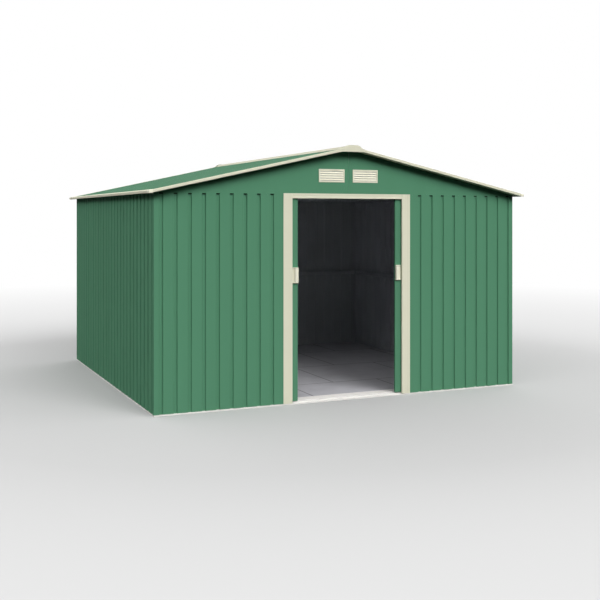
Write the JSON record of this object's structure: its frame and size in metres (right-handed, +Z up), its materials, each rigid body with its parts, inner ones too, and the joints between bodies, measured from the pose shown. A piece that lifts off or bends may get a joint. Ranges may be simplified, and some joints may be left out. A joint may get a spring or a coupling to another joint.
{
  "type": "metal storage shed",
  "caption": "Ribbed steel garden shed with an apex roof, cream trims, louvred gable vents and a pair of doors that slide behind the front wall.",
  "frame": {"origin": "on the ground at the middle of the plan", "axes": "+X across the front to its right, +Y from the front to the back, +Z up"},
  "size_m": [3.3082, 3.1382, 2.0312],
  "materials": {
    "green_steel": "satin green paint on ribbed sheet steel",
    "cream_steel": "satin cream paint on folded sheet steel",
    "white_steel": "white paint on folded sheet steel",
    "galvanised_steel": "dull zinc coating",
    "floor_slab": "smooth light grey paving",
    "cream_plastic": "moulded cream plastic",
    "nylon": "dark nylon"
  },
  "bodies": {
    "shed": {"base_rail_front": "white_steel", "base_rail_left": "white_steel", "base_rail_rear": "white_steel", "base_rail_right": "white_steel", "corner_panels": "green_steel", "door_header": "cream_steel", "door_jamb_left": "cream_steel", "door_jamb_right": "cream_steel", "door_track": "galvanised_steel", "eave_corner_caps": "cream_steel", "eave_trim_left": "cream_steel", "eave_trim_right": "cream_steel", "floor": "floor_slab", "front_gable": "green_steel", "front_rake_trim": "cream_steel", "front_vents": "cream_steel", "front_wall_left": "green_steel", "front_wall_right": "green_steel", "left_wall": "green_steel", "lower_track": "white_steel", "purlins": "galvanised_steel", "rear_gable": "green_steel", "rear_rake_trim": "cream_steel", "rear_vents": "cream_steel", "rear_wall": "green_steel", "ridge_beam": "galvanised_steel", "ridge_cap": "cream_steel", "ridge_ends": "cream_steel", "right_wall": "green_steel", "roof_left": "green_steel", "roof_right": "green_steel", "sill_strip": "white_steel", "tie_beams": "galvanised_steel", "top_rails": "galvanised_steel", "truss_posts": "galvanised_steel", "wall_girts": "galvanised_steel"},
    "door_left": {"door_left_skin": "green_steel", "door_left_frame": "galvanised_steel", "door_left_gear": "nylon", "door_left_handle": "cream_plastic"},
    "door_right": {"door_right_skin": "green_steel", "door_right_frame": "galvanised_steel", "door_right_gear": "nylon", "door_right_handle": "cream_plastic"}
  },
  "joints": [
    {"name": "door_left_slide", "type": "slide", "parent": "shed", "child": "door_left", "axis": [1, 0, 0], "range_m": [0, 0.434]},
    {"name": "door_right_slide", "type": "slide", "parent": "shed", "child": "door_right", "axis": [-1, 0, 0], "range_m": [0, 0.434]}
  ]
}
